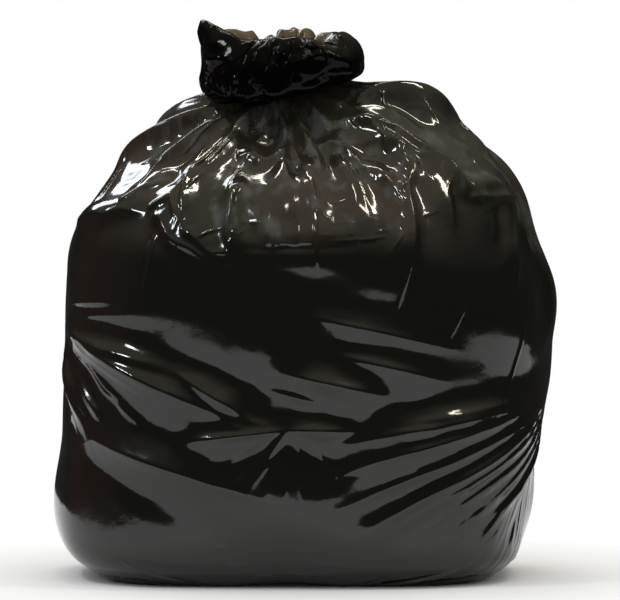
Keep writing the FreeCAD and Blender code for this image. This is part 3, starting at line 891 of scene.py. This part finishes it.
def build_floor():
    """A pale floor that goes over into plain white away from the bag."""
    reach, pale_colour = 20.0, (0.86, 0.86, 0.85, 1)
    pale_to, white_from = 0.22, 0.5
    corners = [(-reach, -reach, 0), (reach, -reach, 0), (reach, reach, 0), (-reach, reach, 0)]
    floor, nodes = staged("floor", corners, [(0, 1, 2, 3)])
    pale = nodes.add("ShaderNodeBsdfDiffuse")
    pale.inputs["Color"].default_value = pale_colour
    white = nodes.add("ShaderNodeEmission")
    white.inputs["Color"].default_value = (1, 1, 1, 1)
    place = nodes.add("ShaderNodeTexCoord").outputs["Object"]
    distance = nodes.add("ShaderNodeVectorMath", operation="LENGTH")
    nodes.link(place, distance.inputs[0])
    far = nodes.spread(distance.outputs["Value"], pale_to, white_from, 0, 1)
    blend = nodes.add("ShaderNodeMixShader")
    nodes.link(nodes.value("MULTIPLY", far, white_for_view(nodes)), blend.inputs[0])
    nodes.link(pale.outputs[0], blend.inputs[1])
    nodes.link(white.outputs[0], blend.inputs[2])
    output = nodes.add("ShaderNodeOutputMaterial")
    nodes.link(blend.outputs[0], output.inputs[0])


def reflections_only(piece):
    """Marks a piece of the studio that only reflections see."""
    piece.visible_camera = piece.visible_diffuse = piece.visible_shadow = False
    piece.visible_transmission = piece.visible_volume_scatter = False


def build_flag():
    """A dark ring wall under a dim warm ceiling, seen by reflections alone: the room that the bag mirrors."""
    radius, top, sides = 1.5, 2.3, 96
    dark, brown, warm = (0.03, 0.028, 0.026), (0.10, 0.055, 0.048), (0.40, 0.37, 0.29)
    brown_to, dark_from, warm_from = -1.45, -1.15, 0.9
    ring = [(radius * math.cos(2 * math.pi * k / sides), radius * math.sin(2 * math.pi * k / sides))
            for k in range(sides)]
    vertices = [(x, y, 0.0) for x, y in ring] + [(x, y, top) for x, y in ring]
    faces = [(k, (k + 1) % sides, sides + (k + 1) % sides, sides + k) for k in range(sides)]
    faces.append(tuple(range(sides, 2 * sides)))
    flag, nodes = staged("flag", vertices, faces)
    place = nodes.add("ShaderNodeTexCoord").outputs["Object"]
    apart = nodes.add("ShaderNodeSeparateXYZ")
    nodes.link(place, apart.inputs[0])
    leftness = nodes.spread(apart.outputs["X"], brown_to, dark_from, 1, 0)
    wall = nodes.mixed(leftness, dark, brown)
    colour = nodes.mixed(nodes.spread(apart.outputs["Z"], warm_from, top, 0, 1), wall, warm)
    glow = nodes.add("ShaderNodeEmission")
    nodes.link(colour, glow.inputs["Color"])
    output = nodes.add("ShaderNodeOutputMaterial")
    nodes.link(glow.outputs[0], output.inputs[0])
    reflections_only(flag)


def build_window():
    """A bright pane behind the bag on its left, seen by reflections alone."""
    place, aim = Vector((-0.75, 1.1, 1.45)), Vector((0, 0, 0.4))
    half_wide, half_tall = 0.45, 0.35
    brightness, colour = 9, (0.93, 0.97, 1.0, 1)
    corners = [(x * half_wide, y * half_tall, 0) for x, y in ((-1, -1), (1, -1), (1, 1), (-1, 1))]
    pane, nodes = staged("window_pane", corners, [(0, 1, 2, 3)])
    pane.location = place
    pane.rotation_euler = (aim - place).to_track_quat("-Z", "Y").to_euler()
    glow = nodes.add("ShaderNodeEmission")
    glow.inputs["Color"].default_value = colour
    glow.inputs["Strength"].default_value = brightness
    output = nodes.add("ShaderNodeOutputMaterial")
    nodes.link(glow.outputs[0], output.inputs[0])
    reflections_only(pane)


def build_world():
    """White wherever it is seen, and a soft light otherwise."""
    world = bpy.data.worlds.new("studio")
    bpy.context.scene.world = world
    nodes = Nodes(world)
    seen = nodes.add("ShaderNodeBackground")
    seen.inputs["Color"].default_value = (1, 1, 1, 1)
    soft = nodes.add("ShaderNodeBackground")
    soft.inputs["Color"].default_value = (0.82, 0.82, 0.82, 1)
    blend = nodes.add("ShaderNodeMixShader")
    nodes.link(white_for_view(nodes), blend.inputs[0])
    nodes.link(soft.outputs[0], blend.inputs[1])
    nodes.link(seen.outputs[0], blend.inputs[2])
    output = nodes.add("ShaderNodeOutputWorld")
    nodes.link(blend.outputs[0], output.inputs[0])


def build_lamp(name, place, size, power, colour):
    """A soft lamp that points at the bag's shoulders."""
    shoulders = Vector((0, 0, 0.35))
    lamp = bpy.data.lights.new(name, "AREA")
    lamp.shape = "RECTANGLE"
    lamp.size, lamp.size_y = size
    lamp.energy = power
    lamp.color = colour
    holder = bpy.data.objects.new(name, lamp)
    bpy.context.scene.collection.objects.link(holder)
    holder.location = place
    holder.rotation_euler = (shoulders - Vector(place)).to_track_quat("-Z", "Y").to_euler()


def build_camera():
    """The photograph's view: low in front, with the bag filling the frame."""
    target = Vector((0.0036, 0, 0.2802))
    distance, elevation, frame_width, sensor = 5.0, math.radians(2), 0.6327, 36.0
    camera = bpy.data.cameras.new("camera")
    camera.sensor_width = sensor
    camera.lens = sensor * distance / frame_width
    holder = bpy.data.objects.new("camera", camera)
    bpy.context.scene.collection.objects.link(holder)
    away = Vector((0, -math.cos(elevation), math.sin(elevation)))
    holder.location = target + distance * away
    holder.rotation_euler = (-away).to_track_quat("-Z", "Y").to_euler()
    bpy.context.scene.camera = holder


build_camera()
build_bag()
build_floor()
build_flag()
build_window()
build_world()
build_lamp("window", (-1.1, -0.9, 1.7), (0.3, 0.25), 8, (0.92, 0.96, 1.0))
build_lamp("ceiling_right", (0.75, -0.35, 2.0), (0.07, 0.6), 6, (1.0, 0.93, 0.76))
build_lamp("ceiling_back", (-0.2, 0.7, 2.1), (0.9, 0.08), 6, (1.0, 0.95, 0.82))
bpy.context.scene.view_settings.view_transform = "Standard"
